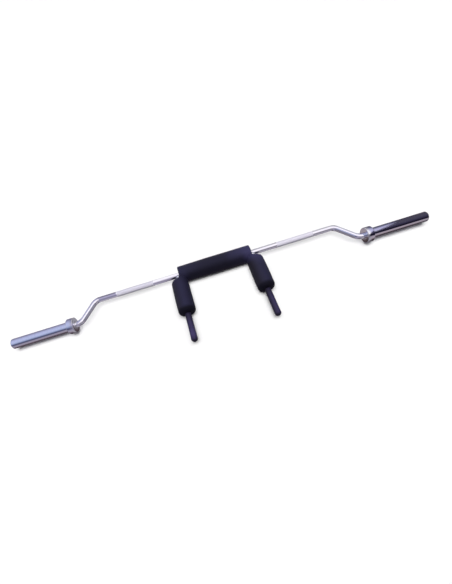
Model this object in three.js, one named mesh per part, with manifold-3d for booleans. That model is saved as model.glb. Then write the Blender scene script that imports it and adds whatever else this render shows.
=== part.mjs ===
// Safety squat bar: a cambered steel bar with a foam neck pad, two padded handles that reach
// forward over the shoulders, and a spinning plate sleeve on a bronze-bushed spindle at each end.
// Millimetres. +X runs along the bar, the handles reach towards -Y and +Z is up. The bar lies on
// the floor at Z = 0, with the origin under the middle of its outline.
import * as THREE from 'three';
import { mergeVertices } from 'three/addons/utils/BufferGeometryUtils.js';
import Module from 'manifold-3d';

// Bar: solid rod with a double bend at each end that carries the sleeves forward.
const barDiameter = 28;
const camberOffset = 100;
const camberRun = 83.4;
const rearBendX = 634;
const bendRadius = 50;
const straightBeforeCollar = 5.2;

// Spindle: the turned-down end of the bar that runs inside the sleeve.
const shoulderStep = 1.5;
const spindleOverrun = 6;
const spindleChamfer = 1.5;
const snapGrooveDepth = 1.2;

// Collar: the stop ring that the first plate rests against.
const collarFlange = 13;
const collarLength = 34;
const collarLip = 8;
const collarEdgeRadius = 2.5;
const lipClearance = 0.8;

// Sleeve: chromed tube that the plates slide on.
const sleeveDiameter = 50;
const sleeveWall = 7;
const loadableLength = 285;
const sleeveChamfer = 2;

// Bearing parts inside the sleeve.
const bushingLength = 40;
const outerBushingInset = 38;
const washerThickness = 3;
const washerFlange = 4.4;
const snapRingThickness = 1.5;
const snapRingWidth = 4;
const snapRingOpening = 6;

// End cap: disc pressed into the outer end of the sleeve.
const capThickness = 12;
const capRecess = 1;
const capChamfer = 1.5;
const capDishDepth = 1.2;
const capRim = 4;

// Handles: tubes welded square to the front of the bar.
const handleSpacing = 395;
const handleDiameter = 25;
const handleWall = 2.5;

// Grip: rubber sleeve with a closed round tip over the free end of the handle.
const gripLength = 145;
const gripWall = 2;
const gripTipWall = 6;
const gripTipRadius = 14.5;
const gripSwell = 0.6;

// Neck pad: foam roller on the bar, pressed between the handles so that its ends reach past them.
const neckPadDiameter = 87;
const neckPadOverreach = 5;
const neckPadEdgeRadius = 5;
const neckPadCrown = 0.8;

// Shoulder pads: foam rollers on the handles, pushed up close to the bar.
const shoulderPadDiameter = 86;
const shoulderPadLength = 193.5;
const shoulderPadBarGap = 16;
const shoulderPadTopRadius = 24;
const shoulderPadTipRadius = 18;
const shoulderPadCrown = 1;

// Fits.
const seatGap = 0.3;
const runningGap = 0.4;
const cutOverrun = 5;

// Facets around and along each form.
const barSides = 24;
const bendSteps = 6;
const tubeSides = 24;
const sleeveSides = 40;
const bearingSides = 24;
const ringSteps = 22;
const padSides = 36;
const padCrownSteps = 6;
const edgeSteps = 4;

// Sizes that follow from the ones above.
const barRadius = barDiameter / 2;
const spindleRadius = barRadius - shoulderStep;
const grooveRadius = spindleRadius - snapGrooveDepth;
const sleeveRadius = sleeveDiameter / 2;
const sleeveBore = sleeveRadius - sleeveWall;
const collarRadius = sleeveRadius + collarFlange;
const handleRadius = handleDiameter / 2;
const gripBore = handleRadius + seatGap;
const gripRadius = gripBore + gripWall;
const neckPadRadius = neckPadDiameter / 2;
const neckPadLength = handleSpacing - handleDiameter + 2 * neckPadOverreach;
const shoulderPadRadius = shoulderPadDiameter / 2;
const camberAngle = Math.atan2(camberOffset, camberRun);
const bendTangent = bendRadius * Math.tan(camberAngle / 2);
const frontBendX = rearBendX + camberRun;
const collarFaceX = frontBendX + bendTangent + straightBeforeCollar;

// Places along a sleeve, from the inboard face of the collar outwards.
const sleeveStart = collarLip + seatGap;
const shoulderPlace = sleeveStart;
const thrustWasherStart = shoulderPlace + seatGap;
const innerBushingStart = thrustWasherStart + washerThickness + runningGap;
const sleeveEnd = collarLength + loadableLength;
const outerBushingEnd = sleeveEnd - outerBushingInset;
const endWasherStart = outerBushingEnd + runningGap;
const snapRingStart = endWasherStart + washerThickness + seatGap;
const grooveEnd = snapRingStart + snapRingThickness + seatGap;
const spindleEnd = grooveEnd + spindleOverrun;

// Places along a handle, from the axis of the bar towards the tip.
const shoulderPadStart = barRadius + shoulderPadBarGap;
const shoulderPadEnd = shoulderPadStart + shoulderPadLength;
const gripStart = shoulderPadEnd + seatGap;
const handleReach = gripStart + gripLength;
const handleTubeEnd = handleReach - gripTipWall - seatGap;

// The bar lies on its collars, and the foam is pressed flat where it meets the floor.
const axisHeight = collarRadius;
const barY = (handleReach - neckPadRadius) / 2;

const { PI } = Math;
const point = (radius, place) => new THREE.Vector2(radius, place);

const solids = await Module();
solids.setup();

// A closed geometry as a solid that can be joined and cut.
function solidOf(geometry) {
  const bare = geometry.clone();
  bare.deleteAttribute('normal');
  bare.deleteAttribute('uv');
  const merged = mergeVertices(bare);
  const corners = merged.index.array;
  const triVerts = [];
  for (let at = 0; at < corners.length; at += 3) {
    const [a, b, c] = corners.slice(at, at + 3);
    if (a !== b && b !== c && c !== a) triVerts.push(a, b, c);
  }
  const vertProperties = Float32Array.from(merged.attributes.position.array);
  const mesh = new solids.Mesh({ numProp: 3, vertProperties, triVerts: Uint32Array.from(triVerts) });
  return new solids.Manifold(mesh);
}

function geometryOf(solid) {
  const { vertProperties, triVerts } = solid.getMesh();
  const geometry = new THREE.BufferGeometry();
  geometry.setAttribute('position', new THREE.BufferAttribute(Float32Array.from(vertProperties), 3));
  geometry.setIndex(new THREE.BufferAttribute(Uint32Array.from(triVerts), 1));
  geometry.computeVertexNormals();
  return geometry;
}

// Arc of a turned profile about a centre, from one angle to another, ends included.
function arc(centreRadius, centrePlace, radius, from, to, steps) {
  const points = [];
  for (let step = 0; step <= steps; step += 1) {
    const angle = from + (to - from) * step / steps;
    points.push(point(centreRadius + radius * Math.cos(angle), centrePlace + radius * Math.sin(angle)));
  }
  return points;
}

// A piece turned about its own +Y. A profile that doesn't start and end on the axis is closed.
function turned(profile, sides) {
  const onAxis = profile[0].x === 0 && profile.at(-1).x === 0;
  const points = onAxis ? profile : [...profile, profile[0].clone()];
  return new THREE.LatheGeometry(points, sides);
}

// A plain ring or tube between two places on its axis.
function ring(innerRadius, outerRadius, start, end, sides) {
  const profile = [
    point(outerRadius, start),
    point(outerRadius, end),
    point(innerRadius, end),
    point(innerRadius, start),
  ];
  return turned(profile, sides);
}

// A plain rod between two places on its axis.
function rod(radius, start, end, sides) {
  const profile = [point(0, start), point(radius, start), point(radius, end), point(0, end)];
  return turned(profile, sides);
}

// The radius of a faceted bore whose flats still clear a round part of the given radius.
const clearBore = (radius, gap, sides) => (radius + gap) / Math.cos(PI / sides);

// A path of chosen stations, each with its own tangent: a straight run needs only its two ends.
class StationPath extends THREE.Curve {
  constructor(stations) {
    super();
    this.stations = stations;
  }

  stationAt(share) {
    return this.stations[Math.round(share * (this.stations.length - 1))];
  }

  getPointAt(share, target = new THREE.Vector3()) {
    return target.copy(this.stationAt(share).position);
  }

  getTangentAt(share, target = new THREE.Vector3()) {
    return target.copy(this.stationAt(share).tangent);
  }
}

// The stations of one bend, whose centre line turns about a centre in the XY plane.
function bendStations(corner, headingIn, turn) {
  const stations = [];
  const side = Math.sign(turn);
  const inward = new THREE.Vector3(Math.cos(headingIn), Math.sin(headingIn), 0);
  const start = corner.clone().addScaledVector(inward, -bendTangent);
  const centre = start.clone().add(new THREE.Vector3(-inward.y, inward.x, 0).multiplyScalar(side * bendRadius));
  for (let step = 0; step <= bendSteps; step += 1) {
    const heading = headingIn + turn * step / bendSteps;
    const outward = new THREE.Vector3(Math.sin(heading), -Math.cos(heading), 0).multiplyScalar(side);
    stations.push({
      position: centre.clone().addScaledVector(outward, bendRadius),
      tangent: new THREE.Vector3(Math.cos(heading), Math.sin(heading), 0),
    });
  }
  return stations;
}

// The bent rod, from the shoulder of one spindle to the shoulder of the other.
function bentRod() {
  const along = new THREE.Vector3(1, 0, 0);
  const endX = collarFaceX + shoulderPlace;
  const corner = (x, y) => new THREE.Vector3(x, y, 0);
  const stations = [
    { position: corner(-endX, -camberOffset), tangent: along },
    ...bendStations(corner(-frontBendX, -camberOffset), 0, camberAngle),
    ...bendStations(corner(-rearBendX, 0), camberAngle, -camberAngle),
    ...bendStations(corner(rearBendX, 0), 0, -camberAngle),
    ...bendStations(corner(frontBendX, -camberOffset), -camberAngle, camberAngle),
    { position: corner(endX, -camberOffset), tangent: along },
  ];
  const section = [];
  for (let side = 0; side < barSides; side += 1) {
    const angle = 2 * PI * side / barSides;
    section.push(point(barRadius * Math.cos(angle), barRadius * Math.sin(angle)));
  }
  const path = new StationPath(stations);
  return new THREE.ExtrudeGeometry(new THREE.Shape(section), { steps: stations.length - 1, extrudePath: path });
}

// The turned-down end, from inside the rod to its chamfered tip, with the snap ring's groove.
function spindle() {
  const profile = [
    point(0, shoulderPlace - cutOverrun),
    point(spindleRadius, shoulderPlace - cutOverrun),
    point(spindleRadius, snapRingStart),
    point(grooveRadius, snapRingStart),
    point(grooveRadius, grooveEnd),
    point(spindleRadius, grooveEnd),
    point(spindleRadius, spindleEnd - spindleChamfer),
    point(spindleRadius - spindleChamfer, spindleEnd),
    point(0, spindleEnd),
  ];
  return turned(profile, bearingSides);
}

// The matrix that takes a sleeve's own frame, +Y outboard, to the bar's frame.
function sleevePlace(side) {
  const matrix = new THREE.Matrix4().makeRotationZ(-side * PI / 2);
  return matrix.setPosition(side * collarFaceX, -camberOffset, 0);
}

function mainBar() {
  let bar = solidOf(bentRod());
  for (const side of [-1, 1]) {
    bar = bar.add(solidOf(spindle().applyMatrix4(sleevePlace(side))));
  }
  return geometryOf(bar);
}

function collar() {
  const lipBore = clearBore(barRadius, lipClearance, sleeveSides);
  const seatBore = sleeveRadius + seatGap;
  const edgeCentre = collarRadius - collarEdgeRadius;
  const profile = [
    ...arc(edgeCentre, collarEdgeRadius, collarEdgeRadius, -PI / 2, 0, edgeSteps),
    ...arc(edgeCentre, collarLength - collarEdgeRadius, collarEdgeRadius, 0, PI / 2, edgeSteps),
    point(seatBore, collarLength),
    point(seatBore, collarLip),
    point(lipBore, collarLip),
    point(lipBore, 0),
  ];
  return turned(profile, sleeveSides);
}

function sleeveTube() {
  const profile = [
    point(sleeveRadius, sleeveStart),
    point(sleeveRadius, sleeveEnd - sleeveChamfer),
    point(sleeveRadius - sleeveChamfer, sleeveEnd),
    point(sleeveBore, sleeveEnd),
    point(sleeveBore, sleeveStart),
  ];
  return turned(profile, sleeveSides);
}

// A bronze bush that turns with the sleeve on the spindle.
function bushing(start) {
  const bore = clearBore(spindleRadius, runningGap, bearingSides);
  const outer = sleeveBore * Math.cos(PI / sleeveSides) - seatGap;
  return ring(bore, outer, start, start + bushingLength, bearingSides);
}

// A hardened washer that stays with the spindle and takes the end thrust of a bush.
function washer(start) {
  const bore = clearBore(spindleRadius, seatGap, bearingSides);
  return ring(bore, spindleRadius + washerFlange, start, start + washerThickness, bearingSides);
}

// The open ring in the spindle's groove.
function snapRing() {
  const inner = clearBore(grooveRadius, seatGap, ringSteps);
  const outer = inner + snapRingWidth;
  const halfOpening = Math.asin(snapRingOpening / 2 / inner);
  const outline = new THREE.Shape();
  outline.absarc(0, 0, outer, halfOpening, 2 * PI - halfOpening, false);
  outline.absarc(0, 0, inner, 2 * PI - halfOpening, halfOpening, true);
  const options = { depth: snapRingThickness, bevelEnabled: false, curveSegments: ringSteps };
  return new THREE.ExtrudeGeometry(outline, options).rotateX(-PI / 2);
}

function endCap() {
  const outer = sleeveBore - seatGap;
  const face = sleeveEnd - capRecess;
  const profile = [
    point(0, face - capThickness),
    point(outer, face - capThickness),
    point(outer, face - capChamfer),
    point(outer - capChamfer, face),
    point(outer - capRim, face),
    point(outer - capRim - capDishDepth, face - capDishDepth),
    point(0, face - capDishDepth),
  ];
  return turned(profile, sleeveSides);
}

// Tube from the bar's surface to the grip, its near end cut to the round of the bar.
function handleTube() {
  const tube = solidOf(ring(handleRadius - handleWall, handleRadius, 0, handleTubeEnd, tubeSides));
  const barSpace = rod(barRadius + seatGap, -handleDiameter, handleDiameter, barSides).rotateZ(PI / 2);
  return geometryOf(tube.subtract(solidOf(barSpace)));
}

// Cup-shaped rubber: open where it leaves the shoulder pad, closed and rounded at the tip.
function grip() {
  const tipCentre = gripRadius + gripSwell - gripTipRadius;
  const profile = [
    point(0, handleTubeEnd + seatGap),
    point(gripBore, handleTubeEnd + seatGap),
    point(gripBore, gripStart),
    point(gripRadius, gripStart),
    ...arc(tipCentre, handleReach - gripTipRadius, gripTipRadius, 0, PI / 2, edgeSteps + edgeSteps),
    point(0, handleReach),
  ];
  return turned(profile, tubeSides);
}

// A foam roller: bored through, rounded at both ends and slightly fuller in the middle.
function foamRoller(bore, radius, start, end, startEdge, endEdge, crown) {
  const flank = [];
  const first = start + startEdge;
  const last = end - endEdge;
  for (let step = 1; step < padCrownSteps; step += 1) {
    const share = step / padCrownSteps;
    const fullness = crown * Math.sin(PI * share);
    flank.push(point(radius - crown + fullness, first + (last - first) * share));
  }
  const edge = radius - crown;
  const profile = [
    ...arc(edge - startEdge, first, startEdge, -PI / 2, 0, edgeSteps),
    ...flank,
    ...arc(edge - endEdge, last, endEdge, 0, PI / 2, edgeSteps),
    point(bore, end),
    point(bore, start),
  ];
  return turned(profile, padSides);
}

// Everything below the floor, in the frame of a roller whose axis lies at the bar's height.
function belowFloor(length, width) {
  const slab = new THREE.BoxGeometry(length, width, cutOverrun + width);
  return solidOf(slab.translate(0, 0, -axisHeight - (cutOverrun + width) / 2));
}

// The pad on the bar, notched at both ends where the handle tubes leave the bar.
function neckPad() {
  const bore = clearBore(barRadius, seatGap, padSides);
  const half = neckPadLength / 2;
  const edge = neckPadEdgeRadius;
  const roller = foamRoller(bore, neckPadRadius, -half, half, edge, edge, neckPadCrown);
  let pad = solidOf(roller.rotateZ(-PI / 2));
  for (const side of [-1, 1]) {
    const notch = rod(handleRadius + seatGap, 0, neckPadRadius + cutOverrun, tubeSides).rotateZ(PI);
    pad = pad.subtract(solidOf(notch.translate(side * handleSpacing / 2, 0, 0)));
  }
  return geometryOf(pad.subtract(belowFloor(neckPadLength + cutOverrun, neckPadDiameter + cutOverrun)));
}

// A pad on a handle, hollowed where its upper end presses into the side of the neck pad.
function shoulderPad(side) {
  const bore = clearBore(handleRadius, seatGap, padSides);
  const ends = [shoulderPadStart, shoulderPadEnd, shoulderPadTopRadius, shoulderPadTipRadius];
  const roller = foamRoller(bore, shoulderPadRadius, ...ends, shoulderPadCrown);
  const neckSpaceStart = (handleSpacing - neckPadLength) / 2 - seatGap;
  const neckSpace = rod(neckPadRadius + seatGap, neckSpaceStart, shoulderPadDiameter, padSides);
  neckSpace.rotateZ(-side * PI / 2);
  const pad = solidOf(roller).subtract(solidOf(neckSpace));
  return geometryOf(pad.subtract(belowFloor(shoulderPadDiameter, 2 * shoulderPadEnd + cutOverrun)));
}

const chrome = { color: 0xdcdce8, roughness: 0.12, metalness: 1 };
const turnedChrome = { color: 0xa9abc8, roughness: 0.24, metalness: 1 };
const bronze = { color: 0xb08d57, roughness: 0.4, metalness: 1 };
const springSteel = { color: 0x6d6e74, roughness: 0.4, metalness: 1 };
const foam = { color: 0x1d1c2c, roughness: 0.82, metalness: 0 };
const rubber = { color: 0x2c2a40, roughness: 0.62, metalness: 0 };

function piece(name, geometry, finish) {
  const mesh = new THREE.Mesh(geometry, new THREE.MeshStandardMaterial(finish));
  mesh.name = name;
  return mesh;
}

// Everything on one spindle, in a frame whose +Y points outboard.
function sleeveAssembly(sideName) {
  const assembly = new THREE.Group();
  const ringMesh = piece(`${sideName}_snap_ring`, snapRing(), springSteel);
  ringMesh.position.y = snapRingStart + seatGap / 2;
  assembly.add(
    piece(`${sideName}_collar`, collar(), chrome),
    piece(`${sideName}_sleeve_tube`, sleeveTube(), turnedChrome),
    piece(`${sideName}_thrust_washer`, washer(thrustWasherStart), springSteel),
    piece(`${sideName}_inner_bushing`, bushing(innerBushingStart), bronze),
    piece(`${sideName}_outer_bushing`, bushing(outerBushingEnd - bushingLength), bronze),
    piece(`${sideName}_end_washer`, washer(endWasherStart), springSteel),
    ringMesh,
    piece(`${sideName}_end_cap`, endCap(), chrome),
  );
  return assembly;
}

// One handle, in a frame whose +Y points from the bar to the tip.
function handleAssembly(sideName, side) {
  const assembly = new THREE.Group();
  assembly.add(
    piece(`${sideName}_handle_tube`, handleTube(), chrome),
    piece(`${sideName}_shoulder_pad`, shoulderPad(side), foam),
    piece(`${sideName}_grip`, grip(), rubber),
  );
  return assembly;
}

const squatBar = new THREE.Group();
squatBar.position.set(0, barY, axisHeight);
squatBar.add(piece('main_bar', mainBar(), chrome), piece('neck_pad', neckPad(), foam));
for (const [sideName, side] of [['left', -1], ['right', 1]]) {
  const handle = handleAssembly(sideName, side);
  handle.rotation.z = PI;
  handle.position.x = side * handleSpacing / 2;
  const sleeve = sleeveAssembly(sideName);
  sleeve.applyMatrix4(sleevePlace(side));
  squatBar.add(handle, sleeve);
}

export default squatBar;
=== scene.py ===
import math

import bpy
from mathutils import Matrix, Vector, noise


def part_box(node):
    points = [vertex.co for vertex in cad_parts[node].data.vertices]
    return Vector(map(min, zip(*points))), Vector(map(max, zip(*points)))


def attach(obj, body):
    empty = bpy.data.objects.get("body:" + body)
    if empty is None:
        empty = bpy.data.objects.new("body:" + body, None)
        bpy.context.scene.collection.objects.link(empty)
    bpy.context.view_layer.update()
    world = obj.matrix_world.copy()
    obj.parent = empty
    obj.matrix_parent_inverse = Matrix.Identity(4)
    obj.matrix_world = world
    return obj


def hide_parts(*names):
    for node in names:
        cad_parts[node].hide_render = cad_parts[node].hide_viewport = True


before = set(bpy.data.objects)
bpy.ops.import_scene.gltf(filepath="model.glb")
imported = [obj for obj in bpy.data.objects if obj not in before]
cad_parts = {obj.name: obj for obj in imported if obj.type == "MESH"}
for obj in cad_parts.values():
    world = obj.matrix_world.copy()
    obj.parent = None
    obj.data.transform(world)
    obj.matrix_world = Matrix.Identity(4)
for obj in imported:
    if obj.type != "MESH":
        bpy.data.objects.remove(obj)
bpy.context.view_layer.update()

# The bar: one length of 28 mm steel rod, bent twice at each end so that the sleeves sit forward
# of the lifter, knurled in two bands where the hands steady it, turned down to a spindle inside
# each sleeve and chrome plated all over.

bar_low, bar_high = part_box("main_bar")
collar_low, collar_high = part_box("right_collar")
bar_radius = (bar_high.z - bar_low.z) / 2
axis_height = (bar_high.z + bar_low.z) / 2
bar_y = bar_high.y - bar_radius
sleeve_y = bar_low.y + bar_radius
collar_face_x = collar_low.x
face_to_shoulder = 0.0083
shoulder_x = collar_face_x + face_to_shoulder
rear_bend_x = 0.634
camber_run = 0.0834
bend_radius = 0.050
bend_rings = 18
shoulder_step = 0.0015
spindle_radius = bar_radius - shoulder_step
knurl_start = 0.328
knurl_end = 0.522
knurl_pitch = 0.0016
knurl_depth = 0.00022
knurl_fade = 0.002
# The knurl's painted light: where it turns lighter on its front side, along y, and lighter to the right,
# along x.
knurl_lit_front_along_y = (bar_y - 0.0125, bar_y - 0.0065)
knurl_lit_to_right = (-0.3, 0.3)
polish_wave = 0.0004
rod_bright = (0.88, 0.87, 0.91, 1)
rod_scuffed = (0.81, 0.80, 0.84, 1)
# Knurl tones with painted light in them: darker on the left, lighter on the right, lighter still on the
# front side.
knurl_painted_dim_left = (0.665, 0.65, 0.745, 1)
knurl_painted_lit_right = (0.74, 0.72, 0.81, 1)
knurl_painted_lit_front = (0.91, 0.89, 1.0, 1)
knurl_matt_share = 0.8
rod_roughness = 0.04
scuff_roughness = 0.05
knurl_roughness = 0.44
bar_crease_degrees = 20
bar_sides = 2 * round(math.pi * bar_radius / (knurl_pitch / 2))
BOTH_SIDES = (("left", -1), ("right", 1))


def loft(name, rings, bored=False):
    """A closed mesh through rings of equal count: capped at both ends, or joined end to start."""
    count = len(rings[0])
    places = [tuple(place) for ring in rings for place in ring]
    faces = []
    last = len(rings) if bored else len(rings) - 1
    for row in range(last):
        near = row * count
        far = (row + 1) % len(rings) * count
        for k in range(count):
            step = (k + 1) % count
            faces.append((near + k, near + step, far + step, far + k))
    if not bored:
        faces.append(tuple(reversed(range(count))))
        faces.append(tuple(range(last * count, last * count + count)))
    mesh = bpy.data.meshes.new(name)
    mesh.from_pydata(places, [], faces)
    mesh.validate()
    piece = bpy.data.objects.new(name, mesh)
    bpy.context.scene.collection.objects.link(piece)
    return piece


def smooth(piece, crease_degrees=38):
    """Smooth shading, with edges left crisp where faces meet at more than the given angle."""
    piece.data.shade_smooth()
    piece.data.set_sharp_from_angle(angle=math.radians(crease_degrees))
    return piece


def dress(piece, body, slot, material, *nodes):
    """Puts a finished piece on its body, in the place of the CAD nodes that it stands for."""
    piece.data.materials.append(material)
    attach(piece, body)
    if nodes:
        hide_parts(*nodes)
    return piece


def bend(corner, heading, turn):
    """Stations round one bend of the centre line, which turns in the plane of the floor."""
    side = math.copysign(1, turn)
    tangent = bend_radius * math.tan(abs(turn) / 2)
    start = corner - tangent * Vector((math.cos(heading), math.sin(heading), 0))
    centre = start + side * bend_radius * Vector((-math.sin(heading), math.cos(heading), 0))
    stations = []
    for ring in range(bend_rings + 1):
        now = heading + turn * ring / bend_rings
        outward = side * Vector((math.sin(now), -math.cos(now), 0))
        stations.append((centre + bend_radius * outward, now, bar_radius, 0))
    return stations


def bar_stations():
    """Every ring of the bar: its centre, its heading, its radius, and how deep it is knurled."""
    camber = sleeve_y - bar_y
    angle = math.atan2(camber, camber_run)
    front_x = rear_bend_x + camber_run
    spindle_end = bar_high.x
    plain = [(Vector((x, bar_y, axis_height)), 0, bar_radius, 0)
             for x in (knurl_start - knurl_pitch, knurl_end + knurl_pitch)]
    half = plain[:1]
    rows = round((knurl_end - knurl_start) / (knurl_pitch / 2))
    for row in range(rows + 1):
        x = knurl_start + (knurl_end - knurl_start) * row / rows
        depth = 0 if row in (0, rows) else knurl_depth
        half.append((Vector((x, bar_y, axis_height)), 0, bar_radius, depth))
    half += plain[1:]
    half += bend(Vector((rear_bend_x, bar_y, axis_height)), 0, angle)
    half += bend(Vector((front_x, sleeve_y, axis_height)), angle, -angle)
    turned_down = ((shoulder_x, bar_radius), (shoulder_x, spindle_radius), (spindle_end, spindle_radius))
    for x, radius in turned_down:
        half.append((Vector((x, sleeve_y, axis_height)), 0, radius, 0))
    other = [(Vector((-c.x, c.y, c.z)), -heading, r, depth) for c, heading, r, depth in reversed(half)]
    return other + half


def bar_rings():
    """The rings of the bar's skin. In the knurl every other corner is sunk, like a chequerboard."""
    rings = []
    for row, (centre, heading, radius, depth) in enumerate(bar_stations()):
        across = Vector((-math.sin(heading), math.cos(heading), 0))
        ring = []
        for k in range(bar_sides):
            angle = 2 * math.pi * k / bar_sides
            cut = depth if (row + k) % 2 else 0
            out = math.cos(angle) * across + math.sin(angle) * Vector((0, 0, 1))
            ring.append(centre + (radius - cut) * out)
        rings.append(ring)
    return rings


class Signal:
    """A socket that can stand in a sum. Each operator adds its Math node and gives its result."""

    def __init__(self, tree, socket=None):
        self.tree = tree
        self.socket = socket

    def node(self, kind, settings=None, inputs=None, output=0):
        """Any other node: its settings first, then the values or links of its sockets."""
        made = self.tree.nodes.new(kind)
        for name, value in (settings or {}).items():
            if name == "stops":
                fill_ramp(made.color_ramp, value)
            else:
                setattr(made, name, value)
        for name, value in (inputs or {}).items():
            if isinstance(value, Signal):
                self.tree.links.new(value.socket, made.inputs[name])
            else:
                made.inputs[name].default_value = value
        return Signal(self.tree, made.outputs[output])

    def maths(self, operation, *terms):
        return self.node("ShaderNodeMath", {"operation": operation}, dict(enumerate(terms)))

    def __add__(self, other):
        return self.maths("ADD", self, other)

    def __sub__(self, other):
        return self.maths("SUBTRACT", self, other)

    def __rsub__(self, other):
        return self.maths("SUBTRACT", other, self)

    def __mul__(self, other):
        return self.maths("MULTIPLY", self, other)

    def __truediv__(self, other):
        return self.maths("DIVIDE", self, other)

    __radd__ = __add__
    __rmul__ = __mul__

    def sine(self):
        return self.maths("SINE", self)

    def parts(self):
        """The x, y and z of this place or direction."""
        split = self.node("ShaderNodeSeparateXYZ", inputs={0: self})
        return [Signal(self.tree, socket) for socket in split.socket.node.outputs]

    def ramp(self, *stops):
        """A colour or grey that follows this value through the given stops."""
        return self.node("ShaderNodeValToRGB", {"stops": stops}, {0: self})

    def mix(self, first, second):
        """Two colours mixed by this share, which gives the first at 0 and the second at 1."""
        inputs = {0: self, 6: first, 7: second}
        return self.node("ShaderNodeMix", {"data_type": "RGBA"}, inputs, output=2)

    def between(self, low, high):
        """0 below low, 1 above high, and an even rise between them."""
        inputs = {"From Min": low, "From Max": high, "Value": self}
        return self.node("ShaderNodeMapRange", {"clamp": True}, inputs)

    def within(self, low, start, end, high):
        """1 from start to end, 0 below low and above high, and an even slope between them."""
        return self.between(low, start) * (1 - self.between(end, high))


def fill_ramp(ramp, stops):
    """Sets a ramp's stops. Each is a place from 0 to 1 and a colour, or one number for a grey."""
    while len(ramp.elements) < len(stops):
        ramp.elements.new(0.5)
    for element, (place, shade) in zip(ramp.elements, stops):
        element.position = place
        element.color = shade if hasattr(shade, "__len__") else (shade, shade, shade, 1)


class Finish:
    """One procedural material. Constants go on the shader's own sockets, and varying ones are wired."""

    def __init__(self, name, **constants):
        self.material = bpy.data.materials.new(name)
        self.material.use_nodes = True
        self.tree = self.material.node_tree
        self.shader = self.tree.nodes["Principled BSDF"]
        for socket, value in constants.items():
            self.shader.inputs[socket.replace("_", " ")].default_value = value
        self.start = Signal(self.tree)
        self.place = self.start.node("ShaderNodeTexCoord", output="Object")

    def clouds(self, scale, detail, roughness=0.5, place=None):
        """Cloudy noise from 0 to 1, with the given number of clouds in a metre."""
        inputs = {"Vector": place or self.place, "Scale": scale}
        inputs.update({"Detail": detail, "Roughness": roughness})
        return self.start.node("ShaderNodeTexNoise", {"noise_dimensions": "3D"}, inputs)

    def pebbles(self, scale):
        """Rounded cells from 0 to 1, with the given number of them in a metre."""
        inputs = {"Vector": self.place, "Scale": scale}
        return self.start.node("ShaderNodeTexVoronoi", {"feature": "SMOOTH_F1"}, inputs)

    def stretched(self, x, y, z):
        """The place on the piece with each axis scaled, for marks that run one way."""
        inputs = {0: self.place, 1: (x, y, z)}
        return self.start.node("ShaderNodeVectorMath", {"operation": "MULTIPLY"}, inputs)

    def wire(self, **signals):
        """Leads what varies over the surface into the shader's sockets."""
        for socket, signal in signals.items():
            self.tree.links.new(signal.socket, self.shader.inputs[socket.replace("_", " ")])

    def bump(self, height, distance, strength=1.0):
        """Relief from a height between 0 and 1, as deep in metres as the distance says."""
        inputs = {"Height": height, "Distance": distance, "Strength": strength}
        self.wire(Normal=self.start.node("ShaderNodeBump", inputs=inputs))


def bar_chrome():
    """Bright plating with faint polishing waves, hairline scuffs and a duller, paler knurl that carries
    painted light.
    """
    finish = Finish("bar_chrome")
    x, y = finish.place.parts()[:2]
    reach = x.maths("ABSOLUTE", x)
    knurled = reach.within(knurl_start, knurl_start + knurl_fade, knurl_end - knurl_fade, knurl_end)
    along_rod = finish.stretched(0.25, 6, 6)
    scuffs = finish.clouds(60, detail=4, roughness=0.6, place=along_rod)
    waves = finish.clouds(14, detail=2, roughness=0.4)
    tone = scuffs.ramp((0.35, rod_scuffed), (0.6, rod_bright))
    # Painted light on the knurl: darker on the left, lighter on the right and lighter still on its front
    # side.
    knurl_painted_light = x.between(*knurl_lit_to_right).mix(knurl_painted_dim_left, knurl_painted_lit_right)
    knurl_painted_light = (1 - y.between(*knurl_lit_front_along_y)).mix(knurl_painted_light, knurl_painted_lit_front)
    finish.wire(
        Base_Color=knurled.mix(tone, knurl_painted_light),
        Metallic=1 - knurled * knurl_matt_share,
        Roughness=rod_roughness + scuffs * scuff_roughness + knurled * knurl_roughness,
    )
    finish.bump(waves + scuffs * 0.1, polish_wave, 0.25)
    return finish.material


main_bar = smooth(loft("bar", bar_rings()), bar_crease_degrees)
dress(main_bar, "frame", "bar_chrome", bar_chrome(), "main_bar")

# The collars: 76 mm rings, turned from bar and welded over the inner end of each sleeve, with
# rounded rims and a lip that closes the sleeve round the shaft. The first plate rests on them.

collar_radius = (collar_high.z - collar_low.z) / 2
collar_length = collar_high.x - collar_low.x
collar_rim = 0.0025
collar_lip = 0.008
lip_clearance = 0.0008
lip_radius = bar_radius + lip_clearance
lip_chamfer = 0.001
sleeve_low, sleeve_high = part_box("right_sleeve_tube")
sleeve_radius = (sleeve_high.z - sleeve_low.z) / 2
fit_gap = 0.0003
turned_sides = 128
collar_marks = 0.0011
collar_mark_height = 0.00006
worn_core = 0.0012
worn_reach = 0.0035
bright = (0.88, 0.88, 0.89, 1)
scuffed = (0.78, 0.78, 0.80, 1)
bared = (0.52, 0.51, 0.54, 1)
turned_roughness = 0.05
mark_roughness = 0.06
bared_roughness = 0.25


def arc(radius, place, size, start_degrees, end_degrees, steps=8):
    """Points of a turned profile round a centre, as (radius, place) pairs."""
    points = []
    for step in range(steps + 1):
        angle = math.radians(start_degrees + (end_degrees - start_degrees) * step / steps)
        points.append((radius + size * math.cos(angle), place + size * math.sin(angle)))
    return points


def turned(name, profile, origin, along, sides=turned_sides, bored=True):
    """A piece turned about an axis. A bored profile closes on itself, and a solid one is capped."""
    first = Vector((0, 0, 1))
    second = along.cross(first)
    rings = []
    for radius, place in profile:
        ring = []
        for k in range(sides):
            angle = 2 * math.pi * k / sides
            out = math.cos(angle) * first + math.sin(angle) * second
            ring.append(origin + place * along + radius * out)
        rings.append(ring)
    return loft(name, rings, bored)


def sleeve_axis(side):
    """Where a collar's inner face meets its axis, and the way outboard."""
    return Vector((side * collar_face_x, sleeve_y, axis_height)), Vector((side, 0, 0))


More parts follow.
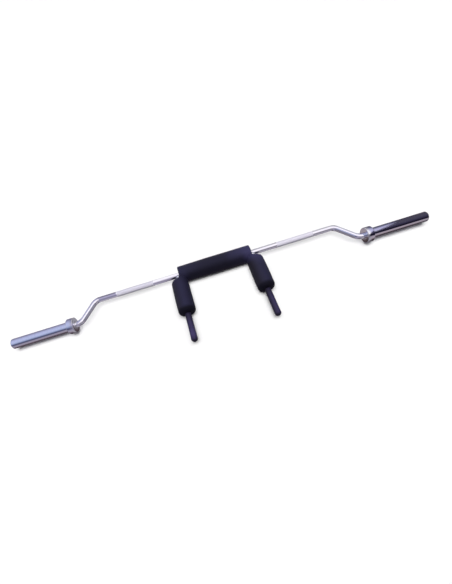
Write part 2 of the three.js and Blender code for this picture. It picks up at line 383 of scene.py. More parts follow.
def collar_profile():
    edge = collar_radius - collar_rim
    return [
        (lip_radius + lip_chamfer, 0),
        *arc(edge, collar_rim, collar_rim, -90, 0),
        *arc(edge, collar_length - collar_rim, collar_rim, 0, 90),
        (sleeve_radius + fit_gap, collar_length),
        (sleeve_radius + fit_gap, collar_lip),
        (lip_radius, collar_lip),
        (lip_radius, lip_chamfer),
    ]


def turned_chrome(name, mark_pitch, mark_height, edge_radius, *edges):
    """Plating over fine lathe marks with scuffs that follow them, dull and nicked along the edges.

    The edges are circles of one radius round the sleeve's axis, at the given distances from x = 0."""
    finish = Finish(name, Metallic=1.0)
    x, y, z = finish.place.parts()
    reach = x.maths("ABSOLUTE", x)
    across = y - sleeve_y
    height = z - axis_height
    out = x.maths("SQRT", across * across + height * height) - edge_radius
    rims = 0
    for edge in edges:
        along = reach - edge
        away = x.maths("SQRT", along * along + out * out)
        rims = rims + (1 - away.between(worn_core, worn_reach))
    nicks = finish.clouds(260, detail=4, roughness=0.7)
    worn = rims * nicks.between(0.42, 0.62)
    drift = finish.clouds(30, detail=2)
    marks = (x * (2 * math.pi / mark_pitch) + drift * 2).sine()
    round_axis = finish.stretched(9, 0.6, 0.6)
    fine = finish.clouds(90, detail=5, roughness=0.65, place=round_axis)
    tone = fine.ramp((0.35, scuffed), (0.65, bright))
    finish.wire(
        Base_Color=worn.mix(tone, bared),
        Roughness=turned_roughness + fine * mark_roughness + worn * bared_roughness,
    )
    finish.bump(marks * 0.5 + fine * 0.8 - worn, mark_height, 0.15)
    return finish.material


collar_chrome = turned_chrome(
    "collar_chrome", collar_marks, collar_mark_height,
    collar_radius, collar_face_x, collar_face_x + collar_length)
for side_name, side in BOTH_SIDES:
    origin, along = sleeve_axis(side)
    collar = smooth(turned(f"{side_name}_collar_ring", collar_profile(), origin, along))
    dress(collar, f"{side_name}_sleeve", "collar_chrome", collar_chrome, f"{side_name}_collar")

# The sleeves: chromed steel tube, 50 mm outside, turned on the lathe so that fine marks ring it,
# and chamfered at the outer end. Plates slide on them and the whole sleeve turns on its bushes.

sleeve_start = sleeve_low.x - collar_face_x
sleeve_end = sleeve_high.x - collar_face_x
sleeve_wall = 0.007
sleeve_bore = sleeve_radius - sleeve_wall
sleeve_chamfer = 0.002
bore_chamfer = 0.001
sleeve_marks = 0.0016
sleeve_mark_height = 0.00008
sleeve_crease_degrees = 25


def sleeve_profile():
    return [
        (sleeve_radius, sleeve_start),
        (sleeve_radius, sleeve_end - sleeve_chamfer),
        (sleeve_radius - sleeve_chamfer, sleeve_end),
        (sleeve_bore + bore_chamfer, sleeve_end),
        (sleeve_bore, sleeve_end - bore_chamfer),
        (sleeve_bore, sleeve_start),
    ]


sleeve_chrome = turned_chrome(
    "sleeve_chrome", sleeve_marks, sleeve_mark_height,
    sleeve_radius - sleeve_chamfer / 2, sleeve_high.x - sleeve_chamfer / 2)
for side_name, side in BOTH_SIDES:
    origin, along = sleeve_axis(side)
    sleeve = turned(f"{side_name}_sleeve", sleeve_profile(), origin, along)
    smooth(sleeve, sleeve_crease_degrees)
    dress(sleeve, f"{side_name}_sleeve", "sleeve_chrome", sleeve_chrome, f"{side_name}_sleeve_tube")

# The bearing parts: bronze bushes pressed into each sleeve, hardened washers that take the end
# thrust, and a spring steel ring in the spindle's groove. They are left as machined and oiled.

tool_mark_height = 0.0001
tool_mark_roughness = 0.2
bronze_roughness = 0.28
steel_roughness = 0.30
bronze_oiled = (0.42, 0.28, 0.13, 1)
bronze_clean = (0.62, 0.44, 0.22, 1)
steel_oiled = (0.20, 0.20, 0.22, 1)
steel_clean = (0.42, 0.42, 0.45, 1)


def machined(name, clean, oiled, roughness):
    """Bare turned metal with a film of oil: fine marks, and darker where the oil has gathered."""
    finish = Finish(name, Metallic=1.0)
    marks = finish.clouds(120, detail=4, roughness=0.6, place=finish.stretched(8, 1, 1))
    oil = finish.clouds(45, detail=3)
    finish.wire(
        Base_Color=oil.mix(clean, oiled),
        Roughness=roughness + marks * tool_mark_roughness,
    )
    finish.bump(marks, tool_mark_height, 0.5)
    return finish.material


bush_bronze = machined("bush_bronze", bronze_clean, bronze_oiled, bronze_roughness)
ring_steel = machined("ring_steel", steel_clean, steel_oiled, steel_roughness)
bearing_metals = {
    "inner_bushing": bush_bronze,
    "outer_bushing": bush_bronze,
    "thrust_washer": ring_steel,
    "end_washer": ring_steel,
    "snap_ring": ring_steel,
}
for side_name, _ in BOTH_SIDES:
    for part, metal in bearing_metals.items():
        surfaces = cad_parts[f"{side_name}_{part}"].data.materials
        surfaces.clear()
        surfaces.append(metal)

# The end caps: chromed steel discs pressed into the outer ends of the sleeves, dished a little
# inside a raised rim, which keep dirt out of the outer bush.

cap_low, cap_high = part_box("right_end_cap")
cap_radius = (cap_high.z - cap_low.z) / 2
cap_back = cap_low.x - collar_face_x
cap_face = cap_high.x - collar_face_x
cap_edge = 0.0015
cap_rim = 0.004
cap_dish = 0.0012
cap_marks = 0.0009
cap_mark_height = 0.00006
centre_pip = 0.0002
cap_edge_rings = 6


def cap_profile():
    floor_radius = cap_radius - cap_rim - cap_dish
    return [
        (centre_pip, cap_back),
        (cap_radius, cap_back),
        *arc(cap_radius - cap_edge, cap_face - cap_edge, cap_edge, 0, 90, cap_edge_rings),
        (floor_radius + cap_dish, cap_face),
        (floor_radius, cap_face - cap_dish),
        (centre_pip, cap_face - cap_dish),
    ]


cap_chrome = turned_chrome("cap_chrome", cap_marks, cap_mark_height, cap_radius - cap_edge, cap_high.x)
for side_name, side in BOTH_SIDES:
    origin, along = sleeve_axis(side)
    cap = smooth(turned(f"{side_name}_cap", cap_profile(), origin, along, bored=False))
    dress(cap, f"{side_name}_sleeve", "collar_chrome", cap_chrome, f"{side_name}_end_cap")

# The handles: 25 mm steel tubes, coped to the round of the bar, welded square to its front and
# chromed with it. Only a short stub shows, in the corner between the two pads.

tube_low, tube_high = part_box("right_handle_tube")
grip_low, grip_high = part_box("right_grip")
shoulder_low, shoulder_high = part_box("right_shoulder_pad")
handle_x = (tube_low.x + tube_high.x) / 2
tube_radius = (tube_high.x - tube_low.x) / 2
tube_wall = 0.0025
tube_bore = tube_radius - tube_wall
tube_end = bar_y - tube_low.y
cope_radius = bar_radius + fit_gap
bead_radius = 0.0022
bead_ripples = 22
bead_ripple_share = 0.10
bead_rings_round = 176
bead_sides = 14
bead_grain = 0.0002
bead_dark = (0.62, 0.62, 0.70, 1)
bead_light = (0.84, 0.84, 0.90, 1)
bead_roughness = 0.16
bead_grain_roughness = 0.2
bead_crease_degrees = 60
TOWARDS_TIP = Vector((0, -1, 0))


def handle_axis(side):
    """Where a handle's axis meets the bar's."""
    return Vector((side * handle_x, bar_y, axis_height))


def saddle(radius, angle):
    """How far from the bar's axis a line of the tube meets the bar's surface."""
    height = radius * math.sin(angle)
    return math.sqrt(cope_radius ** 2 - height ** 2)


def tube_rings(side):
    """A tube whose upper end is coped to the bar and whose lower end is square."""
    rings = []
    edges = ((tube_bore, True), (tube_radius, True), (tube_radius, False), (tube_bore, False))
    for radius, at_bar in edges:
        ring = []
        for k in range(turned_sides):
            angle = 2 * math.pi * k / turned_sides
            place = saddle(radius, angle) if at_bar else tube_end
            out = Vector((math.cos(angle), 0, math.sin(angle)))
            ring.append(handle_axis(side) + radius * out + place * TOWARDS_TIP)
        rings.append(ring)
    return rings


def bead_rings(side):
    """The weld: a rippled bead that follows the saddle where the tube meets the bar."""
    rings = []
    for k in range(bead_rings_round):
        angle = 2 * math.pi * k / bead_rings_round
        size = bead_radius * (1 + bead_ripple_share * math.sin(bead_ripples * angle))
        out = Vector((math.cos(angle), 0, math.sin(angle)))
        middle = handle_axis(side) + tube_radius * out + saddle(tube_radius, angle) * TOWARDS_TIP
        ring = []
        for j in range(bead_sides):
            turn = 2 * math.pi * j / bead_sides
            ring.append(middle + size * (math.cos(turn) * out + math.sin(turn) * TOWARDS_TIP))
        rings.append(ring)
    return rings


def weld_chrome():
    """Plating over a weld: grainier and duller than on the rod."""
    finish = Finish("weld_chrome", Metallic=1.0)
    grain = finish.clouds(220, detail=4, roughness=0.6)
    finish.wire(
        Base_Color=grain.ramp((0.3, bead_dark), (0.7, bead_light)),
        Roughness=bead_roughness + grain * bead_grain_roughness,
    )
    finish.bump(grain, bead_grain, 0.6)
    return finish.material


stub_chrome = main_bar.data.materials[0]
bead_chrome = weld_chrome()
for side_name, side in BOTH_SIDES:
    tube = smooth(loft(f"{side_name}_handle", tube_rings(side), bored=True))
    dress(tube, "frame", "bar_chrome", stub_chrome, f"{side_name}_handle_tube")
    bead = smooth(loft(f"{side_name}_weld", bead_rings(side), bored=True), bead_crease_degrees)
    dress(bead, "frame", "bar_chrome", bead_chrome)

# The pads: closed-cell foam rollers with a moulded skin, pushed on over the bar and the handles.
# The neck pad is hollowed at each end round the handle tube, and all are pressed flat on the floor.

neck_low, neck_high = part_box("neck_pad")
neck_radius = neck_high.y - bar_y
neck_half = neck_high.x
neck_edge = 0.005
neck_crown = 0.0008
shoulder_radius = (shoulder_high.x - shoulder_low.x) / 2
shoulder_start = bar_y - shoulder_high.y
shoulder_end = bar_y - shoulder_low.y
shoulder_top_edge = 0.024
shoulder_inner_edge = 0.006
shoulder_tip_edge = 0.018
shoulder_crown = 0.001
pad_sides = 120
pad_rings = 90
face_rings = 6
start_rings = 12
end_rings = 16
pad_crease_degrees = 60
floor_gap = 0.0002
skin_swell = 0.0004
broad_swells = 14
small_swells = 37
firm_core_share = 0.6
fuller_from_share = -0.15
fuller_over_share = 0.5
neck_seed = 3.0
shoulder_seed = 7.0
ALONG_BAR = Vector((1, 0, 0))


def roller_profile(bore, radius, start, end, start_edge, end_edge, crown):
    """Outline of a foam roller: rounded ends, a slight crown, and a straight bore."""
    edge = radius - crown
    first = start + start_edge
    last = end - end_edge
    flank = []
    for step in range(1, pad_rings):
        share = step / pad_rings
        flank.append((edge + crown * math.sin(math.pi * share), first + (last - first) * share))
    return [
        (bore, start),
        *[(bore + (edge - start_edge - bore) * k / face_rings, start) for k in range(1, face_rings)],
        *arc(edge - start_edge, first, start_edge, -90, 0, start_rings),
        *flank,
        *arc(edge - end_edge, last, end_edge, 0, 90, end_rings),
        *[(bore + (edge - end_edge - bore) * k / face_rings, end) for k in range(face_rings - 1, 0, -1)],
        (bore, end),
    ]


def settle(piece, origin, along, radius, unevenness, seed):
    """Moves a roller's skin as soft foam goes: slow swells, and flat where it lies on the floor."""
    shift = Vector((seed, 2 * seed, 3 * seed))
    core = firm_core_share * radius
    soft = (1 - firm_core_share) * radius
    for corner in piece.data.vertices:
        place = corner.co
        swell = noise.noise(place * broad_swells + shift) + 0.5 * noise.noise(place * small_swells + shift)
        out = place - origin
        out -= out.dot(along) * along
        depth = min(1, max(0, (out.length - core) / soft))
        place += out.normalized() * unevenness * swell * depth
        place.z = max(place.z, floor_gap)
    return piece


def fill_out(piece, fuller, middle_x, inboard):
    """Draws a roller's inboard side out to a fuller outline, where it is pushed against its neighbour."""
    for corner, target in zip(piece.data.vertices, fuller.data.vertices):
        across = (corner.co.x - middle_x) * inboard / shoulder_radius
        share = min(1, max(0, (across - fuller_from_share) / fuller_over_share))
        corner.co = corner.co.lerp(target.co, share * share * (3 - 2 * share))
    bpy.data.objects.remove(fuller)
    return piece


def hollow_ends(piece):
    """Presses both ends of the neck pad back round the handle tubes."""
    reach = tube_radius + fit_gap
    for corner in piece.data.vertices:
        place = corner.co
        height = place.z - axis_height
        if place.y < bar_y and abs(height) < reach:
            limit = handle_x - math.sqrt(reach ** 2 - height ** 2)
            if abs(place.x) > limit:
                place.x = math.copysign(limit, place.x)
    return piece


def cope(piece):
    """Presses the inboard side of a shoulder pad's upper end to the round of the neck pad."""
    reach = neck_radius + fit_gap
    for corner in piece.data.vertices:
        place = corner.co
        height = place.z - axis_height
        if abs(place.x) < neck_half + fit_gap and abs(height) < reach:
            place.y = min(place.y, bar_y - math.sqrt(reach ** 2 - height ** 2))
    return piece


foam_black = (0.0085, 0.0078, 0.016, 1)
# Painted light: the paler, more violet tone of the foam towards the ends.
foam_ends_painted_light = (0.0155, 0.0145, 0.034, 1)
# Painted light: the violet cast on the right end of the neck pad and the top of the right shoulder pad.
foam_violet_painted_light = (0.034, 0.031, 0.080, 1)
# Painted shade: the duller, darker tone of the shoulder pads' flanks that face left.
foam_flank_painted_shade = (0.0135, 0.0120, 0.0150, 1)
foam_shaded = (0.0060, 0.0055, 0.0085, 1)
# Painted shade: the darker tone of the shoulder pads' rounded lower tips.
foam_tip_painted_shade = (0.0038, 0.0034, 0.0056, 1)
foam_scuffed = (0.034, 0.031, 0.056, 1)
foam_cells = 700
foam_grain = 0.0009
foam_roughness = 0.48
foam_scuff_roughness = 0.16
foam_tip_roughness = 0.2
# How strong the painted shade is on the left-facing flanks of the left and right shoulder pads.
left_flank_shade_share = 0.6
right_flank_shade_share = 0.85
# How strong the painted shade is under the front of the neck pad.
neck_shade_share = 0.75
dusty_share = 0.2
rim_wear_share = 0.35

# Where these tones begin and end, as places in metres along x, or along y where the name says so.
# Painted light: where the foam turns paler towards the ends.
ends_light_outwards = (0.06, 0.19)
# Painted light: where the violet cast on the right begins, along x and along y.
violet_light_rightwards = (0.05, 0.18)
violet_light_along_y = (0.06, 0.13)
# Painted shade on the shoulder pads' left-facing flanks: where it lies along x and along y.
left_flank_shade_x = (-0.225, -0.198)
right_flank_shade_x = (0.0, 0.01, 0.168, 0.208)
flank_shade_along_y = (0.085, 0.120)
# Painted shade: where it lies under the front of the neck pad, along y and along x.
neck_shade_along_y = (0.112, 0.122, 0.130, 0.162)
neck_shade_outwards = (0.135, 0.160)
# Painted shade and a matt finish: where the shoulder pads' lower tips begin.
tip_shade_along_y = (shoulder_low.y + 0.015, shoulder_low.y + 0.031)
neck_rims_outwards = (neck_half - 0.006, neck_half - 0.001)
neck_rims_along_y = (0.134, 0.138)
top_rims_outwards = (0.205, 0.222)
top_rims_along_y = (0.112, 0.128)


def foam_skin():
    """Moulded foam: near black with a violet cast, finely pebbled and scuffed, carrying painted light and
    painted shade.
    """
    finish = Finish("foam_skin", Specular_IOR_Level=0.33, Specular_Tint=(0.62, 0.62, 1.0, 1))
    x, y = finish.place.parts()[:2]
    reach = x.maths("ABSOLUTE", x)
    drift = finish.clouds(11, detail=4, roughness=0.55)
    scuffs = finish.clouds(70, detail=5, roughness=0.7)
    # Painted light: paler and more violet towards the ends, with noise in it.
    ends_painted_light = reach.between(*ends_light_outwards) * (0.5 + drift)
    dark = ends_painted_light.mix(foam_black, foam_ends_painted_light)
    # Painted light: a violet cast over the right end of the neck pad and the top of the right shoulder
    # pad.
    right_violet_light = x.between(*violet_light_rightwards) * y.between(*violet_light_along_y) * (0.6 + drift * 0.8)
    dark = right_violet_light.mix(dark, foam_violet_painted_light)
    # Painted shade: the flanks of the shoulder pads that face left are duller and darker.
    left = (1 - x.between(*left_flank_shade_x)) * left_flank_shade_share
    right = x.within(*right_flank_shade_x) * right_flank_shade_share
    left_facing_flank_shade = (left + right) * (1 - y.between(*flank_shade_along_y))
    dark = left_facing_flank_shade.mix(dark, foam_flank_painted_shade)
    # Painted shade under the front of the neck pad.
    neck_front_painted_shade = y.within(*neck_shade_along_y) * (1 - reach.between(*neck_shade_outwards))
    dark = (neck_front_painted_shade * neck_shade_share).mix(dark, foam_shaded)
    # Painted shade at the shoulder pads' rounded lower tips, which are also made rougher.
    tip_shade_and_matt = 1 - y.between(*tip_shade_along_y)
    dark = tip_shade_and_matt.mix(dark, foam_tip_painted_shade)
    neck_rims = reach.between(*neck_rims_outwards) * y.between(*neck_rims_along_y)
    top_rims = y.between(*top_rims_along_y) * reach.between(*top_rims_outwards)
    dusty = scuffs.between(0.62, 0.80) * dusty_share
    worn = dusty + scuffs.between(0.45, 0.65) * (neck_rims + top_rims) * rim_wear_share
    finish.wire(
        Base_Color=worn.mix(dark, foam_scuffed),
        Roughness=foam_roughness + scuffs * foam_scuff_roughness + tip_shade_and_matt * foam_tip_roughness,
    )
    finish.bump(finish.pebbles(foam_cells) * 0.5 + scuffs * 0.8, foam_grain, 0.5)
    return finish.material


foam = foam_skin()
profile = roller_profile(
    bar_radius + fit_gap, neck_radius, -neck_half, neck_half, neck_edge, neck_edge, neck_crown)
neck_middle = Vector((0, bar_y, axis_height))
pad = turned("neck_roller", profile, neck_middle, ALONG_BAR, pad_sides)
settle(hollow_ends(pad), neck_middle, ALONG_BAR, neck_radius, skin_swell, neck_seed)
smooth(pad, pad_crease_degrees)
dress(pad, "frame", "foam", foam, "neck_pad")
outlines = [
    roller_profile(
        tube_radius + fit_gap, shoulder_radius, shoulder_start, shoulder_end,
        top_edge, shoulder_tip_edge, shoulder_crown)
    for top_edge in (shoulder_top_edge, shoulder_inner_edge)]
shoulder_pads = []
for side_name, side in BOTH_SIDES:
    origin = handle_axis(side)
    pad, fuller = [
        turned(f"{side_name}_shoulder_roller", outline, origin, TOWARDS_TIP, pad_sides)
        for outline in outlines]
    fill_out(pad, fuller, side * handle_x, -side)
    settle(pad, origin, TOWARDS_TIP, shoulder_radius, skin_swell, shoulder_seed + side)
    smooth(cope(pad), pad_crease_degrees)
    shoulder_pads.append(dress(pad, "frame", "foam", foam, f"{side_name}_shoulder_pad"))

# The grips: dipped rubber sleeves with closed round tips, stretched over the free ends of the
# handles. They swell slightly towards the tip and keep a fine matt grain for the hand.

grip_start = bar_y - grip_high.y
grip_end = bar_y - grip_low.y
grip_tip_radius = (grip_high.x - grip_low.x) / 2
grip_swell = 0.0006
grip_radius = grip_tip_radius - grip_swell
grip_bore = tube_radius + fit_gap
grip_tip_round = 0.0145
grip_mouth = 0.0008
grip_sides = 72
mouth_rings = 4
grip_rings = 24
tip_rings = 14
rubber_cells = 1100
rubber_grain = 0.0003
rubber_black = (0.009, 0.007, 0.018, 1)
# The paler tone of worn patches and of the grip away from the painted shade next to the pad.
rubber_worn_and_lit = (0.025, 0.019, 0.060, 1)
# Painted highlight: the paler band along the left grip.
rubber_painted_highlight = (0.040, 0.031, 0.095, 1)
rubber_shaded = (0.010, 0.008, 0.016, 1)
# Painted shade: the dark tone of the rounded tips.
rubber_tip_painted_shade = (0.006, 0.005, 0.012, 1)
rubber_roughness = 0.42
rubber_wear_roughness = 0.2
rubber_shaded_share = 0.7

# Where these tones begin and end, as places in metres along x, or along y where the name says so.
# Painted shade: where the grip darkens next to the pad.
pad_shade_along_y = (-0.12, -0.075)
# Painted highlight: where the band on the left grip lies, along y and along x.
highlight_along_y = (-0.190, -0.178, -0.165, -0.140)
highlight_leftwards = (-0.05, 0.05)
shaded_side = (0.0, 0.01, 0.188, 0.201)
# Painted shade: where the rounded tips darken.
grip_tip_shade_along_y = (grip_low.y + 0.004, grip_low.y + 0.014)


def grip_profile():
    profile = [(centre_pip, tube_end + fit_gap), (grip_bore, tube_end + fit_gap), (grip_bore, grip_start)]
    first = grip_start + grip_mouth
    last = grip_end - grip_tip_round
    profile += arc(grip_radius - grip_mouth, first, grip_mouth, -90, 0, mouth_rings)
    for step in range(1, grip_rings):
        share = step / grip_rings
        profile.append((grip_radius + grip_swell * share * share, first + (last - first) * share))
    profile += arc(grip_tip_radius - grip_tip_round, last, grip_tip_round, 0, 90, tip_rings)
    profile.append((centre_pip, grip_end))
    return profile


def grip_rubber():
    """Soft rubber: violet black, evenly grained, with random worn patches, painted shade and a painted
    highlight.
    """
    finish = Finish("grip_rubber", Specular_IOR_Level=0.5, Specular_Tint=(0.8, 0.75, 1.0, 1))
    x, y = finish.place.parts()[:2]
    wear = finish.clouds(24, detail=4, roughness=0.6)
    # Random worn patches, and painted shade that darkens the grip next to the pad.
    wear_and_pad_shade = wear * 0.5 + (1 - y.between(*pad_shade_along_y)) * 0.5
    colour = wear_and_pad_shade.ramp((0.2, rubber_black), (0.8, rubber_worn_and_lit))
    # Painted highlight: a paler band along the left grip towards its tip.
    left_grip_highlight = y.within(*highlight_along_y) * (1 - x.between(*highlight_leftwards))
    colour = left_grip_highlight.mix(colour, rubber_painted_highlight)
    colour = (x.within(*shaded_side) * rubber_shaded_share).mix(colour, rubber_shaded)
    finish.wire(
        # Painted shade on the rounded tips.
        Base_Color=(1 - y.between(*grip_tip_shade_along_y)).mix(colour, rubber_tip_painted_shade),
        Roughness=rubber_roughness + wear * rubber_wear_roughness,
    )
    finish.bump(finish.pebbles(rubber_cells), rubber_grain, 0.4)
    return finish.material


rubber = grip_rubber()
grips = []
for side_name, side in BOTH_SIDES:
    origin = handle_axis(side)
    grip = smooth(turned(
        f"{side_name}_rubber_grip", grip_profile(), origin, TOWARDS_TIP, grip_sides, bored=False))
    grips.append(dress(grip, "frame", "grip_rubber", rubber, f"{side_name}_grip"))

# The studio: a wide pale floor under three soft suns, a dark flag off the right end that glows faintly
# and shows only in reflections, and surroundings that the chrome mirrors, lilac on the left, white
# overhead and dusky round the horizon. The camera looks down from the front, rolled.

floor_reach = 9.0
sun_disc_degrees = 40
sun_forward_degrees = 3
side_sun_degrees = 20
overhead_energy = 1.98
side_energy = 0.70
bpy.ops.mesh.primitive_plane_add(size=2 * floor_reach, location=(0, 0, 0))
floor = bpy.context.object
floor.name = "studio_floor"
floor.visible_glossy = False
floor.visible_diffuse = False
floor_paint = Finish("studio_floor", Roughness=1.0, Specular_IOR_Level=0.0)
mottle = floor_paint.clouds(3, detail=2)
floor_paint.wire(Base_Color=mottle.ramp((0.4, 0.93), (0.6, 0.95)))
floor.data.materials.append(floor_paint.material)


def soft_sun(name, energy, lean_degrees, passing):
    """Even soft light, leaning to one side, that no chrome mirrors and that passes some pieces."""
    lamp = bpy.data.lights.new(name, "SUN")
    lamp.angle = math.radians(sun_disc_degrees)
    lamp.energy = energy
    sun = bpy.data.objects.new(name, lamp)
    sun.rotation_euler = (math.radians(sun_forward_degrees), math.radians(lean_degrees), 0)
    sun.visible_glossy = False
    bpy.context.scene.collection.objects.link(sun)
    unstopped = bpy.data.collections.new(f"pieces_that_{name}_passes")
    for place, piece in enumerate(passing):
        unstopped.objects.link(piece)
        unstopped.collection_objects[place].light_linking.link_state = "EXCLUDE"
    sun.light_linking.blocker_collection = unstopped


# The shadows of the thin bar and grips are faint in the photograph, and those of the shoulder pads
# fall outwards, so most of the light passes the first and a fifth passes each of the others.
soft_sun("overhead", overhead_energy, 0, (main_bar, *grips))
soft_sun("from_left", side_energy, -side_sun_degrees, (shoulder_pads[0], grips[0]))
soft_sun("from_right", side_energy, side_sun_degrees, (shoulder_pads[1], grips[1]))

# The flag's edge: how far it reaches from the sleeve's axis at each angle from straight up.
flag_x = 1.25
flag_edge = (
    (-105, 0.50), (-60, 0.59), (-15, 0.63), (2, 0.67), (12, 0.74),
    (24, 0.82), (40, 1.10), (66, 1.10), (78, 0.60))
glow_noise_degrees = 16
corners = [(flag_x, sleeve_y, axis_height)]
for degrees, reach in flag_edge:
    angle = math.radians(degrees)
    corners.append((flag_x, sleeve_y - reach * math.sin(angle), axis_height + reach * math.cos(angle)))
flag_mesh = bpy.data.meshes.new("flag")
flag_mesh.from_pydata(corners, [], [(0, k + 1, k) for k in range(1, len(flag_edge))])
flag = bpy.data.objects.new("flag", flag_mesh)
bpy.context.scene.collection.objects.link(flag)
flag.visible_camera = flag.visible_diffuse = flag.visible_shadow = False
# The flag glows faintly and only the chrome's reflections see it: a painted reflection off the right end.
flag_glow = Finish("flag_glow", Base_Color=(0, 0, 0, 1), Specular_IOR_Level=0.0, Emission_Strength=1.0)
flag_y, flag_z = flag_glow.place.parts()[1:]
lean = flag_y.maths("ARCTAN2", sleeve_y - flag_y, flag_z - axis_height) * (180 / math.pi)
glow_angle = lean + flag_glow.clouds(4, detail=2) * glow_noise_degrees

# The flag is clear to every reflection but the first. Its faint glow is darker towards the front, with
# noise in it.
bounces = flag_glow.start.node("ShaderNodeLightPath", output="Glossy Depth")
flag_glow.wire(
    Alpha=2 - bounces,
    Emission_Color=glow_angle.between(-90, 90).ramp(
        (0.0, (0.075, 0.068, 0.095, 1)), (0.5, (0.072, 0.066, 0.108, 1)),
        (0.64, (0.052, 0.046, 0.088, 1)), (0.72, (0.040, 0.034, 0.070, 1)),
        (0.80, (0.012, 0.010, 0.026, 1)), (1.0, (0.004, 0.003, 0.010, 1))),
)
flag_mesh.materials.append(flag_glow.material)

world = bpy.data.worlds.new("studio")
world.use_nodes = True
bpy.context.scene.world = world
sky = Signal(world.node_tree)
east, north, up = sky.node("ShaderNodeTexCoord", output="Generated").parts()
tilt = east.maths("ARCTAN2", north * -1, up) / (2 * math.pi) + 0.5
sideways = east.maths("ABSOLUTE", east)


def sky_band(*stops):
    """Shades round the bar's axis: 0 degrees is overhead, 90 in front and 180 underneath."""
    return tilt.ramp(*[(degrees / 360 + 0.5, (*shade, 1)) for degrees, shade in stops])


left_lilac = sky_band(
    (-180, (0.05, 0.035, 0.04)), (-151.8, (0.07, 0.05, 0.055)), (-148.5, (0.40, 0.34, 0.38)),
    (-138, (0.24, 0.22, 0.28)), (-92, (0.22, 0.22, 0.34)), (-72, (0.33, 0.34, 0.52)),
    (-44, (0.48, 0.50, 0.77)), (-20, (0.54, 0.60, 0.90)), (14, (0.54, 0.60, 0.88)),
    (36, (0.33, 0.39, 0.63)), (52, (0.10, 0.11, 0.22)), (69, (0.09, 0.09, 0.15)),
    (85, (0.31, 0.29, 0.41)), (112, (0.40, 0.36, 0.45)), (136, (0.13, 0.10, 0.13)),
    (173, (0.06, 0.045, 0.06)))
left_grey = sky_band(
    (-180, (0.25, 0.24, 0.30)), (-100, (0.21, 0.20, 0.26)), (-70, (0.20, 0.20, 0.27)),
    (-40, (0.28, 0.27, 0.39)), (-10, (0.44, 0.42, 0.58)), (14, (0.50, 0.48, 0.67)),
    (36, (0.30, 0.29, 0.42)), (66, (0.24, 0.23, 0.34)), (100, (0.36, 0.34, 0.43)),
    (141, (0.56, 0.54, 0.60)), (180, (0.40, 0.39, 0.42)))
overhead = sky_band(
    (-180, (0.25, 0.24, 0.30)), (-115, (0.60, 0.59, 0.64)), (-85, (1.02, 1.01, 1.02)),
    (-10, (1.13, 1.11, 1.17)), (18, (1.08, 1.05, 1.14)), (36, (0.58, 0.55, 0.66)),
    (57, (0.36, 0.34, 0.43)), (81, (0.28, 0.26, 0.35)), (108, (0.36, 0.335, 0.44)),
    (141, (0.42, 0.40, 0.49)), (180, (0.36, 0.35, 0.40)))
right_white = sky_band(
    (-180, (0.08, 0.06, 0.07)), (-151.5, (0.09, 0.065, 0.075)), (-148.6, (0.33, 0.32, 0.37)),
    (-110, (0.45, 0.44, 0.48)), (-75, (0.50, 0.49, 0.54)), (-46, (0.56, 0.55, 0.60)),
    (-28, (1.06, 1.04, 1.10)), (0, (1.16, 1.14, 1.20)), (33, (1.16, 1.12, 1.20)),
    (46, (0.50, 0.48, 0.56)), (59, (0.20, 0.19, 0.22)), (75, (0.24, 0.23, 0.27)),
    (100, (0.38, 0.36, 0.42)), (141, (0.42, 0.40, 0.46)), (180, (0.36, 0.35, 0.40)))
right_lilac = sky_band(
    (-180, (0.05, 0.04, 0.05)), (-97, (0.10, 0.10, 0.15)), (-72, (0.11, 0.11, 0.18)),
    (-48, (0.32, 0.32, 0.50)), (-28, (0.50, 0.49, 0.75)), (0, (0.54, 0.53, 0.82)),
    (16, (0.34, 0.33, 0.56)), (32, (0.07, 0.065, 0.15)), (44, (0.02, 0.015, 0.05)),
    (57, (0.03, 0.025, 0.06)), (68, (0.24, 0.21, 0.30)), (86, (0.42, 0.36, 0.44)),
    (108, (0.42, 0.36, 0.42)), (128, (0.16, 0.13, 0.15)), (150, (0.03, 0.022, 0.03)))
far_sides = sky_band(
    (-180, (0.35, 0.34, 0.38)), (-110, (0.72, 0.73, 0.78)), (-58, (0.66, 0.67, 0.74)),
    (-20, (0.58, 0.59, 0.66)), (18, (0.48, 0.48, 0.56)), (42, (0.30, 0.30, 0.36)),
    (80, (0.25, 0.24, 0.30)), (128, (0.30, 0.29, 0.34)), (163, (0.36, 0.35, 0.40)))
end_on = sky_band(
    (-180, (0.30, 0.29, 0.34)), (-125, (0.46, 0.45, 0.50)), (-80, (0.66, 0.65, 0.70)),
    (-62, (0.14, 0.13, 0.18)), (-42, (0.32, 0.31, 0.38)), (-18, (1.04, 1.02, 1.08)),
    (16, (1.04, 1.02, 1.08)), (40, (0.34, 0.33, 0.40)), (58, (0.12, 0.11, 0.16)),
    (78, (0.58, 0.57, 0.62)), (120, (0.44, 0.43, 0.48)), (180, (0.30, 0.29, 0.34)))

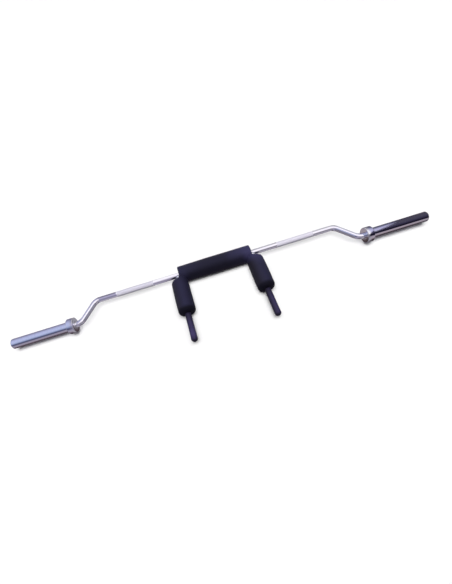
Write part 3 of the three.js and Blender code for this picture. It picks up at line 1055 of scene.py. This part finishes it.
# Later bands lie over earlier ones. East is the part of a direction along x, from -1 to 1.
layers = (
    (east.between(0.02, 0.18), right_white),
    (east.within(-0.13, -0.10, 0.17, 0.21) * tilt.between(0.79, 0.84), (0.10, 0.09, 0.12, 1)),
    (sideways.between(0.60, 0.66), far_sides),
    (sideways.between(0.70, 0.82), (0.20, 0.19, 0.25, 1)),
    (sideways.between(0.80, 0.87), end_on),
    (east.within(-0.66, -0.60, -0.28, -0.25), left_grey),
    (east.within(-0.66, -0.60, -0.41, -0.37), left_lilac),
    (east.within(0.46, 0.50, 0.61, 0.66), right_lilac),
)
mirrored = overhead
for share, shades in layers:
    mirrored = share.mix(mirrored, shades)
fill_light = up.between(-0.1, 0.1).mix((0.03, 0.025, 0.03, 1), (0.055, 0.050, 0.053, 1))
filling = sky.node("ShaderNodeLightPath", output="Is Diffuse Ray")
seen = sky.node("ShaderNodeLightPath", output="Is Camera Ray")
around = seen.mix(filling.mix(mirrored, fill_light), (1, 1, 1, 1))
background = world.node_tree.nodes["Background"]
world.node_tree.links.new(around.socket, background.inputs["Color"])
background.inputs["Strength"].default_value = 1.0

# The camera fitted to the photograph. Its picture height, focal length and shift are in pixels.
picture_height = 584
focal_pixels = 294.95
principal_left = 17.48
camera_azimuth = math.radians(-0.71)
camera_elevation = math.radians(60.93)
camera_roll = math.radians(16.60)
camera_distance = 1.43293
aim = Vector((-0.0742, bar_y - 0.1463, 0.040))

camera_data = bpy.data.cameras.new("camera")
camera_data.sensor_width = 36.0
camera_data.lens = focal_pixels * camera_data.sensor_width / picture_height
camera_data.shift_x = principal_left / picture_height
camera_data.clip_end = 50
camera = bpy.data.objects.new("camera", camera_data)
bpy.context.scene.collection.objects.link(camera)
back = Vector((
    math.sin(camera_azimuth) * math.cos(camera_elevation),
    -math.cos(camera_azimuth) * math.cos(camera_elevation),
    math.sin(camera_elevation),
))
right = Vector((math.cos(camera_azimuth), math.sin(camera_azimuth), 0))
upward = back.cross(right)
rolled_right = math.cos(camera_roll) * right - math.sin(camera_roll) * upward
rolled_up = math.sin(camera_roll) * right + math.cos(camera_roll) * upward
facing = Matrix((rolled_right, rolled_up, back)).transposed()
camera.matrix_world = Matrix.Translation(aim + camera_distance * back) @ facing.to_4x4()
bpy.context.scene.camera = camera
bpy.context.scene.view_settings.view_transform = "Standard"
